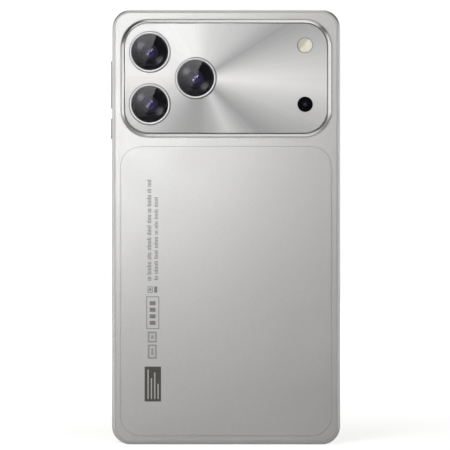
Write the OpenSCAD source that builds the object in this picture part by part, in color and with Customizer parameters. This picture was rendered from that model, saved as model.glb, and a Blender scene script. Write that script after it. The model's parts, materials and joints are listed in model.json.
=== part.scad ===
// Phone-format handset with a raised rear camera deck.
// It stands on its bottom edge: +Z runs up its length, -Y out of its back and +X to the right
// of someone who looks at the back. The origin is the bottom centre of the bounding box.
// The sub-parts are drawn flat first, with x across, y along the length from the centre and
// z out of the back from the middle of the body's thickness, and in_frame() stands them up.

/* [Body] */
// Width across the side frame
body_w = 96; // [94:0.5:98]
// Length from the bottom edge to the top edge
body_l = 183; // [181:0.5:186]
// Thickness without the camera deck
body_t = 9.2; // [9.2:0.1:10]
// Corner radius of the outline
corner_r = 7.8; // [7:0.1:9]
// Thickness of the side frame's wall
wall = 2.3; // [2.3:0.1:2.6]
// Thickness of the front glass
glass_t = 0.8; // [0.6:0.05:0.9]
// Thickness of the back cover
cover_t = 1.0; // [0.9:0.05:1.1]

/* [Rear panel] */
// Width of the shallow panel in the back cover
panel_w = 89; // [86:0.5:90]
// Length of the shallow panel
panel_l = 121.8; // [116:0.1:122]
// Gap left below the panel
panel_margin = 3.6; // [3.4:0.1:6]
// Corner radius of the panel
panel_r = 8.6; // [6:0.1:12]

/* [Camera deck] */
// Width of the deck
deck_w = 89; // [87:0.5:90]
// Length of the deck along the body
deck_l = 50; // [48:0.5:51]
// Gap between the deck and the top edge
deck_margin = 3.85; // [3.6:0.05:4.5]
// Corner radius of the deck
deck_r = 11.8; // [10:0.1:14]
// How far the deck's bezel stands out of the back
deck_h = 1.6; // [1.4:0.1:2]
// Width of the polished bezel
bezel_w = 1.9; // [1.5:0.1:2.4]
// Outer diameter of the lens rings
lens_d = 17.4; // [16.8:0.1:18]
// Distance between the upper and the lower lens
lens_pitch = 22; // [20:0.5:23]
// Distance from the deck's centre to the upper and lower lenses
column_x = 32.1; // [31.5:0.1:32.5]
// Distance from the deck's centre to the middle lens
middle_x = 12.8; // [12.4:0.1:13.2]
// Diameter of the flash lens and of the small camera's window
small_d = 6.5; // [6:0.1:7]
// Distance from the deck's centre across to the flash lens
small_x = 33.2; // [33:0.1:33.6]

/* [Keys and ports] */
// Length of the volume key
volume_l = 20; // [18:0.5:21]
// Height of the volume key's centre above the body's centre
volume_y = 60; // [59.5:0.5:61]
// Length of the power key
power_l = 8.7; // [8:0.1:9]
// Height of the power key's centre above the body's centre
power_y = 41.5; // [41:0.5:42]
// How far the keys stand out of the side
key_proud = 0.5; // [0.3:0.05:0.6]
// Radius of the headphone socket's bore
jack_r = 1.775; // [1.75:0.005:1.8]

/* [Display] */
// Width of the display panel
display_w = 88.6; // [86:0.1:88.8]
// Length of the display panel
display_l = 161; // [158:0.5:163]

/* [Hidden] */
$fn = 96;

e = 0.01;
half_w = body_w / 2;
half_l = body_l / 2;
half_t = body_t / 2;

// Levels through the thickness
seat_front = -half_t + glass_t;
seat_back = half_t - cover_t;
display_z = seat_front;
display_t = 1.4;
backlight_t = 1.0;
plate_t = 0.6;
plate_z = display_z + display_t + backlight_t;
chamber_z = plate_z + plate_t;
board_gap = 0.6;
board_t = 0.8;
board_z = chamber_z + board_gap;
board_top = board_z + board_t;

// Lips and clearances
lip = 1.25;
slip = 0.05;
inner_r = corner_r - wall;

// Camera deck
deck_y = half_l - deck_margin - deck_l / 2;
deck_floor = 0.15;
deck_top = half_t + deck_h - 0.35;
plate_base = half_t + deck_floor;
ring_h = 1.1;
ring_top = deck_top + ring_h;
ring_band = 0.85;
spigot_d = lens_d - 1.1;
lens_bore = lens_d - 4;
glass_seat = deck_top + 0.15;
lens_glass_t = 0.8;
barrel_d = 6.8;
housing_w = 9.6;
LENSES = [
    [-column_x, deck_y + lens_pitch / 2],
    [-middle_x, deck_y],
    [-column_x, deck_y - lens_pitch / 2]
];
FLASH = [small_x, deck_y + 13.8];
DEPTH = [small_x, deck_y - 11];

// Middle of the bounding box through the thickness
depth_mid = (ring_top - half_t) / 2;

// Rear panel
panel_t = 0.35;
panel_gap = 0.2;
panel_y = -half_l + panel_margin + panel_l / 2;

// Side keys
key_z = 2.4;
key_gap = 0.15;
pocket_depth = 1.2;
pocket_z = 4.4;
pocket_extra = 3;
pocket_x = -half_w + wall - pocket_depth;
dome_x = pocket_x + 0.9;
dome_t = 0.35;
key_board_t = 0.4;
key_board_l = 37;
key_board_y = 53.5;
volume_nub = 6.5;

// Card tray
tray_y = 51;
tray_body_w = 13.6;
tray_t = 0.9;
tray_z = board_top + 0.4;
tray_back = 18.8;
tray_head_t = 1.6;
tray_head_h = 2;
tray_head_lo = 43.2;
tray_head_hi = 62.4;
rod_y = 60.7;
rod_w = 0.8;
rod_tip = 17.4;
lever_w = 1.6;
lever_x = rod_tip - 0.2 - lever_w / 2;
lever_pivot_y = 56;
lever_lo = 49.8;
lever_hi = 61.4;
pivot_r = 0.55;

// Battery
battery_w = 76;
battery_lo = -66;
battery_hi = 31;
battery_t = 3.9;

// Bottom edge
port_z = chamber_z + 1.7;
usb_w = 8.94;
usb_h = 3.26;
usb_l = 7.6;
usb_wall = 0.3;
sub_lo = -87.5;
sub_hi = -69;
speaker_x = [21.5, 44];
speaker_y = [-87, -69.5];
speaker_hole_x = 32.75;
speaker_pitch = 3;
mic_x = -12;
motor_x = -39;
motor_z = chamber_z + 2.1;
motor_r = 2;

// Top edge
jack_x = 14;
jack_z = chamber_z + 1.8;
jack_nose_r = 2.15;
jack_depth = 12.7;
jack_mouth = half_l - 0.3;
earpiece_y = 84.7;
selfie_x = 21;

MAIN_SCREWS = [[-40.5, 84.5], [-18, 84.5], [2, 84.5], [40.5, 84.5], [-34, 38], [-2, 37], [40.5, 37]];
SUB_SCREWS = [[-31, -72], [-8, -72], [12, -72]];
screw_r = 0.7;
screw_head_r = 1.3;

SILVER = [0.80, 0.80, 0.79];
STEEL = [0.62, 0.63, 0.65];
BLACK = [0.03, 0.03, 0.035];
BOARD = [0.05, 0.16, 0.10];
COPPER = [0.72, 0.45, 0.20];

// Stands a flat-drawn sub-part up in the part's own frame
module in_frame() translate([0, depth_mid, half_l]) rotate([90, 0, 0]) children();

// Rounded rectangle, centred
module plan(w, l, r) {
    square([w - 2 * r, l], center = true);
    square([w, l - 2 * r], center = true);
    for (x = [-1, 1], y = [-1, 1]) translate([x * (w / 2 - r), y * (l / 2 - r)]) circle(r);
}

// Flat slab with rounded corners, from one level to another
module slab(w, l, r, lo, hi) translate([0, 0, lo]) linear_extrude(hi - lo) plan(w, l, r);

// Box between two corners
module block(lo, hi) translate(lo) cube(hi - lo);

// Straight cylinder along z at a point
module post(p, r, lo, hi) translate([p[0], p[1], lo]) cylinder(r = r, h = hi - lo);

// Slot with round ends, drilled along y
module port(x, z, w, h, lo, hi) translate([x, hi, z]) rotate([90, 0, 0])
    linear_extrude(hi - lo) {
        square([w - h, h], center = true);
        for (s = [-1, 1]) translate([s * (w - h) / 2, 0]) circle(h / 2);
    }

// Closed band around the outline; each point is [distance in from the edge, level]
module band(w, l, r, points) {
    for (a = [0, 180]) rotate([0, 0, a]) {
        rotate([90, 0, 0]) linear_extrude(l - 2 * r, center = true)
            polygon([for (p = points) [w / 2 - p[0], p[1]]]);
        rotate([0, 0, 90]) rotate([90, 0, 0]) linear_extrude(w - 2 * r, center = true)
            polygon([for (p = points) [l / 2 - p[0], p[1]]]);
        translate([w / 2 - r, l / 2 - r]) rotate_extrude(angle = 90)
            polygon([for (p = points) [r - p[0], p[1]]]);
        translate([-w / 2 + r, l / 2 - r]) rotate([0, 0, 90]) rotate_extrude(angle = 90)
            polygon([for (p = points) [r - p[0], p[1]]]);
    }
}

// ---- Casing ----

module frame_band() {
    edge = half_t - 0.05;
    band(body_w, body_l, corner_r, [
        [0, -half_t + 1.05], [0.3, -half_t + 0.45], [0.95, -edge], [lip, -edge],
        [lip, seat_front], [wall, seat_front], [wall, seat_back], [lip, seat_back],
        [lip, edge], [0.95, edge], [0.3, half_t - 0.45], [0, half_t - 1.05]
    ]);
}

module key_opening(y, l) {
    block([-half_w - 1, y - l / 2 - key_gap, -key_z / 2 - key_gap],
          [pocket_x + e, y + l / 2 + key_gap, key_z / 2 + key_gap]);
    block([pocket_x, y - (l + pocket_extra) / 2, -pocket_z / 2],
          [-half_w + wall + 1, y + (l + pocket_extra) / 2, pocket_z / 2]);
}

module side_frame() color(SILVER) in_frame() difference() {
    frame_band();
    key_opening(volume_y, volume_l);
    key_opening(power_y, power_l);
    block([half_w - wall - 1, tray_head_lo - 0.1, tray_z + tray_t / 2 - tray_head_h / 2 - 0.1],
          [half_w + 1, tray_head_hi + 0.1, tray_z + tray_t / 2 + tray_head_h / 2 + 0.1]);
    port(0, port_z, usb_w + 0.3, usb_h + 0.3, -half_l - 1, -half_l + wall + 1);
    for (i = [-2:2]) translate([speaker_hole_x + i * speaker_pitch, -half_l + wall + 1, port_z])
        rotate([90, 0, 0]) cylinder(r = 0.7, h = wall + 2);
    translate([mic_x, -half_l + wall + 1, port_z]) rotate([90, 0, 0]) cylinder(r = 0.5, h = wall + 2);
    translate([jack_x, half_l + 1, jack_z]) rotate([90, 0, 0])
        cylinder(r = jack_nose_r + slip, h = wall + 2);
}

module mid_plate() color(STEEL) in_frame() difference() {
    union() {
        slab(body_w - 2 * wall - 2 * slip, body_l - 2 * wall - 2 * slip, inner_r - slip,
             plate_z, chamber_z);
        for (p = concat(MAIN_SCREWS, SUB_SCREWS)) post(p, 1.6, chamber_z - e, board_z);
    }
    for (p = concat(MAIN_SCREWS, SUB_SCREWS)) post(p, screw_r + 0.02, plate_z - 1, board_z + 1);
    block([-half_w, key_board_y - key_board_l / 2 - 0.8, plate_z - 1],
          [dome_x + dome_t + 2 * key_board_t + 0.3, key_board_y + key_board_l / 2 + 0.8, chamber_z + 1]);
    block([jack_x - 3, jack_mouth - jack_depth - 2, plate_z - 1],
          [jack_x + 3, half_l, chamber_z + 1]);
    block([5.5, -84.9, plate_z - 1], [18.5, -83.1, chamber_z + 1]);
    block([selfie_x - 3.5, 81.3, plate_z - 1], [selfie_x + 3.5, 87.3, chamber_z + 1]);
}

module back_cover() color(SILVER) in_frame() difference() {
    slab(body_w - 2 * lip - 2 * slip, body_l - 2 * lip - 2 * slip, corner_r - lip - slip,
         seat_back, half_t);
    translate([0, panel_y, 0]) slab(panel_w, panel_l, panel_r, half_t - panel_t, half_t + 1);
    for (p = LENSES) post(p, 5.2, seat_back - 1, half_t + 1);
    post(DEPTH, 3, seat_back - 1, half_t + 1);
    post(FLASH, 2.8, seat_back - 1, half_t + 1);
}

module rear_panel() color(SILVER) in_frame() translate([0, panel_y, 0])
    slab(panel_w - 2 * panel_gap, panel_l - 2 * panel_gap, panel_r - panel_gap,
         half_t - panel_t, half_t);

// ---- Front ----

module cover_glass() color(BLACK, 0.6) in_frame() difference() {
    slab(body_w - 2 * lip - 2 * slip, body_l - 2 * lip - 2 * slip, corner_r - lip - slip,
         -half_t, seat_front);
    translate([0, earpiece_y, -half_t - 1]) linear_extrude(glass_t + 2) {
        square([12, 1.2], center = true);
        for (s = [-1, 1]) translate([s * 6, 0]) circle(0.6);
    }
}

module display_panel() color(BLACK) in_frame()
    slab(display_w, display_l, 1.5, display_z, display_z + display_t);

module backlight() color("white") in_frame()
    slab(display_w - 0.6, display_l - 3, 1, display_z + display_t, plate_z);

module earpiece_mesh() color(STEEL) in_frame() translate([0, earpiece_y, -half_t + 0.3])
    linear_extrude(0.3) {
        square([12, 1.1], center = true);
        for (s = [-1, 1]) translate([s * 6, 0]) circle(0.55);
    }

module earpiece() color(BLACK) in_frame() difference() {
    block([-7, 82.2, seat_front], [7, 87.2, plate_z]);
    block([-6, earpiece_y - 0.6, seat_front - 1], [6, earpiece_y + 0.6, seat_front + 1]);
}

module front_camera() color(BLACK) in_frame() {
    block([selfie_x - 3.1, 81.6, plate_z - 0.6], [selfie_x + 3.1, 87, plate_z + 0.3]);
    post([selfie_x, 84.3], 2.4, seat_front, plate_z - 0.6 + e);
}

// ---- Camera deck ----

module camera_bezel() color("gainsboro") in_frame() translate([0, deck_y, 0])
    band(deck_w, deck_l, deck_r, [
        [0, half_t], [0, half_t + deck_h - 0.45], [0.45, half_t + deck_h],
        [bezel_w - 0.3, half_t + deck_h], [bezel_w, half_t + deck_h - 0.3], [bezel_w, half_t]
    ]);

module deck_plate() color(SILVER) in_frame() difference() {
    translate([0, deck_y, 0])
        slab(deck_w - 2 * bezel_w - 2 * slip, deck_l - 2 * bezel_w - 2 * slip,
             deck_r - bezel_w - slip, plate_base, deck_top);
    for (p = LENSES) post(p, spigot_d / 2 + slip, half_t, deck_top + 1);
    for (p = [FLASH, DEPTH]) {
        post(p, small_d / 2 + slip, deck_top - 0.5, deck_top + 1);
        post(p, small_d / 2 - 0.6, half_t, deck_top + 1);
    }
}

module lens_ring(p) color("silver") in_frame() difference() {
    union() {
        post(p, lens_d / 2, deck_top, ring_top - 0.25);
        translate([p[0], p[1], ring_top - 0.25])
            cylinder(r1 = lens_d / 2, r2 = lens_d / 2 - 0.25, h = 0.25);
        post(p, spigot_d / 2, plate_base, deck_top + e);
    }
    post(p, lens_bore / 2, half_t, ring_top + 1);
    post(p, lens_d / 2 - ring_band - 0.1, glass_seat, ring_top + 1);
}
module lens_ring_upper() lens_ring(LENSES[0]);
module lens_ring_middle() lens_ring(LENSES[1]);
module lens_ring_lower() lens_ring(LENSES[2]);

module lens_glass(p) color(BLACK, 0.7) in_frame()
    post(p, lens_d / 2 - ring_band - 0.15, glass_seat, glass_seat + lens_glass_t);
module lens_glass_upper() lens_glass(LENSES[0]);
module lens_glass_middle() lens_glass(LENSES[1]);
module lens_glass_lower() lens_glass(LENSES[2]);

module camera_housing(p) color("dimgray") in_frame() difference() {
    union() {
        block([p[0] - housing_w / 2, p[1] - housing_w / 2, chamber_z],
              [p[0] + housing_w / 2, p[1] + housing_w / 2, seat_back - 0.1]);
        post(p, 4.6, seat_back - 0.1 - e, half_t);
    }
    post(p, barrel_d / 2 + 0.3, chamber_z + 0.5, half_t + 1);
}
module camera_housing_upper() camera_housing(LENSES[0]);
module camera_housing_middle() camera_housing(LENSES[1]);
module camera_housing_lower() camera_housing(LENSES[2]);

module focus_barrel(p) color(BLACK) in_frame() difference() {
    post(p, barrel_d / 2, chamber_z + 1.4, half_t + 0.4);
    translate([p[0], p[1], half_t - 0.8]) cylinder(r1 = 1.3, r2 = 2.5, h = 1.2 + e);
}
module focus_barrel_upper() focus_barrel(LENSES[0]);
module focus_barrel_middle() focus_barrel(LENSES[1]);
module focus_barrel_lower() focus_barrel(LENSES[2]);

module image_sensor(p) color("darkslateblue") in_frame()
    block([p[0] - 2.4, p[1] - 2.4, chamber_z + 0.5], [p[0] + 2.4, p[1] + 2.4, chamber_z + 0.9]);
module image_sensor_upper() image_sensor(LENSES[0]);
module image_sensor_middle() image_sensor(LENSES[1]);
module image_sensor_lower() image_sensor(LENSES[2]);

module depth_camera() color(BLACK) in_frame() {
    block([DEPTH[0] - 3, DEPTH[1] - 3, board_top + 2.1], [DEPTH[0] + 3, DEPTH[1] + 3, seat_back - 0.1]);
    post(DEPTH, small_d / 2 - 0.75, seat_back - 0.1 - e, deck_top - 0.55);
}

module depth_window() color(BLACK, 0.8) in_frame() post(DEPTH, small_d / 2, deck_top - 0.5, deck_top);

module flash_lens() color("ivory") in_frame() {
    post(FLASH, small_d / 2, deck_top - 0.5, deck_top);
    post(FLASH, small_d / 2 - 0.65, half_t + 0.1, deck_top - 0.5 + e);
}

module flash_led() color("khaki") in_frame()
    block([FLASH[0] - 1.6, FLASH[1] - 1.6, seat_back - 0.4], [FLASH[0] + 1.6, FLASH[1] + 1.6, half_t - 0.1]);

// ---- Side keys ----

module key_cap(y, l) block([-half_w - key_proud, y - l / 2, -key_z / 2],
                           [pocket_x + 0.3, y + l / 2, key_z / 2]);

module volume_key() color(SILVER) in_frame() {
    key_cap(volume_y, volume_l);
    block([pocket_x + 0.15, volume_y - 4, -1.8], [pocket_x + 0.6, volume_y + 4, 1.8]);
    for (s = [-1, 1]) block([pocket_x + 0.3 - e, volume_y + s * volume_nub - 0.8, -0.8],
                            [pocket_x + 0.7, volume_y + s * volume_nub + 0.8, 0.8]);
}

module power_key() color(SILVER) in_frame() {
    key_cap(power_y, power_l);
    block([pocket_x + 0.05, power_y - power_l / 2 - 0.8, -1.8],
          [pocket_x + 0.5, power_y + power_l / 2 + 0.8, 1.8]);
    block([pocket_x + 0.5 - e, power_y - 0.8, -0.8], [pocket_x + 0.62, power_y + 0.8, 0.8]);
}

module key_domes() color("gold") in_frame()
    for (y = [volume_y - volume_nub, volume_y + volume_nub, power_y])
        translate([dome_x, y, 0]) rotate([0, 90, 0]) cylinder(r = 1.5, h = dome_t);

module key_sheet(offset_x) block([dome_x + dome_t + offset_x, key_board_y - key_board_l / 2, -2],
    [dome_x + dome_t + offset_x + key_board_t, key_board_y + key_board_l / 2, 2]);

module side_key_board() color(COPPER) in_frame() key_sheet(0);

module key_bracket() color(STEEL) in_frame() key_sheet(key_board_t);

// ---- Card tray and its ejector ----

module sim_tray() color(SILVER) in_frame() {
    tray_mid = tray_z + tray_t / 2;
    difference() {
        block([tray_back, tray_y - tray_body_w / 2, tray_z],
              [half_w - tray_head_t + e, tray_y + tray_body_w / 2, tray_z + tray_t]);
        block([20, tray_y - 6.2, tray_z + 0.2], [28.8, tray_y + 6.2, tray_z + 2]);
        block([30.2, tray_y - 5.5, tray_z + 0.2], [45.2, tray_y + 5.5, tray_z + 2]);
        block([21.5, tray_y - 4.7, tray_z - 1], [27.3, tray_y + 4.7, tray_z + 2]);
        block([32, tray_y - 4.2, tray_z - 1], [43.4, tray_y + 4.2, tray_z + 2]);
    }
    difference() {
        block([half_w - tray_head_t, tray_head_lo, tray_mid - tray_head_h / 2],
              [half_w, tray_head_hi, tray_mid + tray_head_h / 2]);
        translate([half_w - tray_head_t - 1, rod_y, tray_mid]) rotate([0, 90, 0]) cylinder(r = 0.5, h = 4);
    }
}

module card_socket() color(STEEL) in_frame() {
    difference() {
        block([18.2, tray_y - 7.7, board_top], [43.9, tray_y + 7.7, tray_z + tray_t + 0.45]);
        block([17, tray_y - 7, board_top + 0.25], [45, tray_y + 7, tray_z + tray_t + 0.15]);
    }
    difference() {
        block([22, rod_y - 1.1, board_top], [42, rod_y + 1.1, tray_z + tray_t + 0.45]);
        block([21, rod_y - 0.55, board_top + 0.25], [43, rod_y + 0.55, tray_z + tray_t + 0.15]);
    }
    block([22, tray_y + 7.6, board_top], [42, rod_y - 1, board_top + 0.3]);
    block([lever_x - 1.2, lever_pivot_y - 1.6, board_top], [18.3, lever_pivot_y + 1.6, board_top + 0.25]);
    post([lever_x, lever_pivot_y], pivot_r, board_top + 0.2, tray_z + tray_t + 0.2);
}

module eject_rod() color(STEEL) in_frame()
    block([rod_tip, rod_y - rod_w / 2, tray_z + tray_t / 2 - rod_w / 2],
          [half_w - tray_head_t - 0.8, rod_y + rod_w / 2, tray_z + tray_t / 2 + rod_w / 2]);

module eject_lever() color("silver") in_frame() translate([lever_x, 0, tray_z + 0.15])
    linear_extrude(0.6) difference() {
        union() {
            translate([-lever_w / 2, lever_lo + lever_w / 2])
                square([lever_w, lever_hi - lever_lo - lever_w]);
            translate([0, lever_lo + lever_w / 2]) circle(lever_w / 2);
            translate([0, lever_hi - lever_w / 2]) circle(lever_w / 2);
        }
        translate([0, lever_pivot_y]) circle(pivot_r + 0.05);
    }

// ---- Boards ----

module main_board() color(BOARD) in_frame() difference() {
    block([-43.2, 34, board_z], [43.2, 87.6, board_top]);
    for (p = LENSES) block([p[0] - housing_w / 2 - 0.4, p[1] - housing_w / 2 - 0.4, board_z - 1],
                           [p[0] + housing_w / 2 + 0.4, p[1] + housing_w / 2 + 0.4, board_top + 1]);
    block([jack_x - 3, jack_mouth - jack_depth - 2, board_z - 1], [jack_x + 3, half_l, board_top + 1]);
    for (p = MAIN_SCREWS) post(p, 0.8, board_z - 1, board_top + 1);
}

module chip(lo, hi, top) color("black") in_frame()
    block([lo[0], lo[1], board_top], [hi[0], hi[1], board_top + top]);
module processor() chip([-2.5, 60], [9.5, 72], 0.9);
module memory_chip() chip([-2.2, 44], [9.3, 57], 0.9);
module radio_chip() chip([25, 68], [34, 77], 0.9);

module shield_can(lo, hi, top) color(STEEL) in_frame() difference() {
    block([lo[0], lo[1], board_top], [hi[0], hi[1], board_top + top]);
    block([lo[0] + 0.3, lo[1] + 0.3, board_top - 1], [hi[0] - 0.3, hi[1] - 0.3, board_top + top - 0.3]);
}
module processor_shield() shield_can([-6.5, 42], [13.5, 74], 1.6);
module radio_shield() shield_can([19, 64.5], [42, 81.5], 1.8);

module sub_board() color(BOARD) in_frame() difference() {
    block([-34, sub_lo, board_z], [20, sub_hi, board_top]);
    block([-usb_w / 2 - 0.3, -half_l, board_z - 1], [usb_w / 2 + 0.3, -half_l + usb_l + 0.7, board_top + 1]);
    block([5.5, -84.9, board_z - 1], [18.5, -83.1, board_top + 1]);
    for (p = SUB_SCREWS) post(p, 0.8, board_z - 1, board_top + 1);
}

module screws() color("silver") in_frame() for (p = concat(MAIN_SCREWS, SUB_SCREWS)) difference() {
    union() {
        post(p, screw_r, plate_z + 0.1, board_top + e);
        post(p, screw_head_r, board_top, board_top + 0.7);
    }
    for (a = [0, 90]) translate([p[0], p[1], board_top + 0.55]) rotate([0, 0, a])
        cube([1.5, 0.3, 0.5], center = true);
}

// ---- Power and flexes ----

module battery() color("dimgray") in_frame()
    block([-battery_w / 2, battery_lo, chamber_z], [battery_w / 2, battery_hi, chamber_z + battery_t]);

module battery_lead() color(COPPER) in_frame() {
    block([-18, battery_hi, board_top + 0.3], [-10, 36, board_top + 0.6]);
    block([-18, 34.6, board_top], [-10, 38, board_top + 1.2]);
}

module main_flex() color(COPPER) in_frame() {
    block([-43, -68, chamber_z], [-39.2, 38, chamber_z + 0.15]);
    block([-39.2 - e, -69.4, chamber_z], [-28, -66.4, chamber_z + 0.15]);
}

module display_flex() color(COPPER) in_frame() {
    block([6, -84.3, display_z + 0.6], [18, -display_l / 2, display_z + 0.75]);
    block([6, -84.3, display_z + 0.6], [18, -84.1, board_top + 0.3]);
    block([6, -84.3, board_top + 0.15], [18, -81.5, board_top + 0.3]);
}

// ---- Bottom edge ----

module usb_shell() color("silver") in_frame() difference() {
    port(0, port_z, usb_w, usb_h, -half_l + 0.3, -half_l + usb_l);
    port(0, port_z, usb_w - 2 * usb_wall, usb_h - 2 * usb_wall, -half_l - 1, -half_l + usb_l + 1);
}

module usb_tongue() color(BLACK) in_frame() {
    port(0, port_z, usb_w - 2 * usb_wall - 0.04, usb_h - 2 * usb_wall - 0.04,
         -half_l + usb_l - 1.2, -half_l + usb_l);
    block([-3.35, -half_l + 1.1, port_z - 0.35], [3.35, -half_l + usb_l - 1.1, port_z + 0.35]);
}

module microphone() color("silver") in_frame()
    block([mic_x - 1.8, sub_lo + 0.2, board_top], [mic_x + 1.8, sub_lo + 3, board_top + 1]);

module loudspeaker() color(BLACK) in_frame() difference() {
    union() {
        block([speaker_x[0], speaker_y[0], chamber_z], [speaker_x[1], speaker_y[1], seat_back - 0.2]);
        block([speaker_hole_x - 8, -half_l + wall + 0.35, port_z - 1.6],
              [speaker_hole_x + 6.8, speaker_y[0] + e, port_z + 1.6]);
    }
    block([speaker_x[0] + 0.8, speaker_y[0] + 0.8, chamber_z + 0.8],
          [speaker_x[1] - 0.8, speaker_y[1] - 0.8, seat_back - 1]);
    block([speaker_hole_x - 7.2, -half_l + wall, port_z - 1], [speaker_hole_x + 6, speaker_y[0] + 1, port_z + 1]);
}

module loudspeaker_mesh() color(STEEL) in_frame()
    block([speaker_hole_x - 8, -half_l + wall + 0.05, port_z - 1.6],
          [speaker_hole_x + 6.8, -half_l + wall + 0.3, port_z + 1.6]);

module motor_housing() color("silver") in_frame() translate([motor_x, -77, motor_z])
    rotate([90, 0, 0]) difference() {
        cylinder(r = motor_r, h = 9);
        translate([0, 0, -1]) cylinder(r = 0.45, h = 9.5);
    }

module motor_rotor() color("gray") in_frame() translate([motor_x, -71.8, motor_z])
    rotate([90, 0, 0]) {
        cylinder(r = 0.4, h = 13);
        intersection() {
            translate([0, 0, 0.4]) cylinder(r = motor_r - 0.1, h = 4.2);
            translate([-3, -3, 0]) cube([6, 3.3, 6]);
        }
    }

// ---- Top edge ----

module headphone_jack() color(BLACK) in_frame() difference() {
    union() {
        block([jack_x - 2.7, jack_mouth - jack_depth - 1.5, jack_z - jack_nose_r],
              [jack_x + 2.7, half_l - wall - 0.2, jack_z + jack_nose_r]);
        translate([jack_x, jack_mouth, jack_z]) rotate([90, 0, 0]) cylinder(r = jack_nose_r, h = 5);
    }
    translate([jack_x, jack_mouth + 1, jack_z]) rotate([90, 0, 0])
        cylinder(r = jack_r, h = jack_depth + 1);
}

side_frame();
mid_plate();
back_cover();
rear_panel();
cover_glass();
display_panel();
backlight();
camera_bezel();
deck_plate();
lens_ring_upper();
lens_ring_middle();
lens_ring_lower();
lens_glass_upper();
lens_glass_middle();
lens_glass_lower();
camera_housing_upper();
camera_housing_middle();
camera_housing_lower();
focus_barrel_upper();
focus_barrel_middle();
focus_barrel_lower();
image_sensor_upper();
image_sensor_middle();
image_sensor_lower();
depth_camera();
depth_window();
flash_lens();
flash_led();
volume_key();
power_key();
side_key_board();
key_domes();
key_bracket();
sim_tray();
card_socket();
eject_rod();
eject_lever();
main_board();
processor();
memory_chip();
radio_chip();
processor_shield();
radio_shield();
battery();
battery_lead();
main_flex();
display_flex();
sub_board();
usb_shell();
usb_tongue();
headphone_jack();
microphone();
loudspeaker();
loudspeaker_mesh();
earpiece();
earpiece_mesh();
front_camera();
motor_housing();
motor_rotor();
screws();
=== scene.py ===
"""Looks for a silver phone-format handset with a raised camera deck, built around its CAD frame.

Flat coordinates, in millimetres, are used throughout: x across, y along the length from the body's
centre and z out of the back from the middle of the thickness. at() turns them into frame metres.
"""
import json
import math

import bmesh
import bpy
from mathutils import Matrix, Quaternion, Vector


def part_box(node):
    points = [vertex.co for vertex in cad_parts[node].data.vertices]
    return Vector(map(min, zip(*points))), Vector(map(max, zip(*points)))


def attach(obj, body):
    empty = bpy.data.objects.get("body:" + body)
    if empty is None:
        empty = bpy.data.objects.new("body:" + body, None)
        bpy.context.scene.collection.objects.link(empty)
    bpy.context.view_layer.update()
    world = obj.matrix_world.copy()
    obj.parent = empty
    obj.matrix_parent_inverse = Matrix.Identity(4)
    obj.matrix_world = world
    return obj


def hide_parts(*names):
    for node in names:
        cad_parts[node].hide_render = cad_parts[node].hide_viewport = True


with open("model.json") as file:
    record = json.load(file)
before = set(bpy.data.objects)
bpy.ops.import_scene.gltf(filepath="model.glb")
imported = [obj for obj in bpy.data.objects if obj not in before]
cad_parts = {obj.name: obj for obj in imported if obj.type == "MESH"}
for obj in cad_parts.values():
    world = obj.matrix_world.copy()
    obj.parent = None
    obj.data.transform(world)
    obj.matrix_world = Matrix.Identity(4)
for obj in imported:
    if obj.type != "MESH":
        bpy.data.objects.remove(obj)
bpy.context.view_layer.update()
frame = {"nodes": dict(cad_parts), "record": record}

MM = 0.001
CORNER_STEPS = 24
ROUND_STEPS = 96
SHARP_ANGLE = math.radians(32)
ROOT = "handset"
BODY_LO, BODY_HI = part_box("side_frame")
MID = (BODY_LO + BODY_HI) / 2


# ---- Places ----

def at(x, y, z):
    """A point given in flat millimetres, in the frame's metres."""
    return MID + Vector((x, -z, y)) * MM


def flat_box(node):
    """A CAD node's lowest and highest corners in flat millimetres."""
    lo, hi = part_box(node)
    a, b = (lo - MID) / MM, (hi - MID) / MM
    return Vector((a.x, a.z, -b.y)), Vector((b.x, b.z, -a.y))


def middle(node):
    lo, hi = flat_box(node)
    return (lo + hi) / 2


def spot(node):
    """Where a CAD node's middle lies on the back."""
    centre = middle(node)
    return centre.x, centre.y


def side_place(x0, way):
    """For outlines drawn on a long side: u runs up the body, v through it and h out of the side."""
    return lambda u, v, h: at(x0 + way * h, u, v)


def end_place(y0, way):
    """For outlines drawn on the top or bottom edge: u runs across, v through and h outwards."""
    return lambda u, v, h: at(u, y0 + way * h, v)


def front_place(z0):
    """For outlines drawn on the front: u runs across, v up the body and h out of the glass."""
    return lambda u, v, h: at(u, v, z0 - h)


def steps_between(start, end, count):
    """Evenly spaced values, with both ends."""
    return [start + (end - start) * i / count for i in range(count + 1)]


# ---- Mesh tools ----

AXIS_R = 1e-6
CUT_CHAMFER = 0.12
TOP_SUPPORT = 0.3


def finish_mesh(name, bm, body=ROOT, smooth=True):
    bmesh.ops.recalc_face_normals(bm, faces=bm.faces)
    mesh = bpy.data.meshes.new(name)
    bm.to_mesh(mesh)
    bm.free()
    obj = bpy.data.objects.new(name, mesh)
    bpy.context.scene.collection.objects.link(obj)
    if smooth:
        shade(mesh)
    if body:
        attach(obj, body)
    return obj


def shade(mesh):
    mesh.shade_smooth()
    mesh.set_sharp_from_angle(angle=SHARP_ANGLE)


def bridge(bm, rings, closed):
    """Faces between neighbouring rings of vertices, where a ring may be a single point."""
    pairs = list(zip(rings, rings[1:]))
    if closed:
        pairs.append((rings[-1], rings[0]))
    for a, b in pairs:
        count = max(len(a), len(b))
        for i in range(count):
            k = (i + 1) % count
            if len(a) == 1:
                bm.faces.new((a[0], b[k], b[i]))
            elif len(b) == 1:
                bm.faces.new((a[i], a[k], b[0]))
            else:
                bm.faces.new((a[i], a[k], b[k], b[i]))
    if not closed:
        for ring in (rings[0], rings[-1]):
            if len(ring) > 1:
                bm.faces.new(ring)


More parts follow.
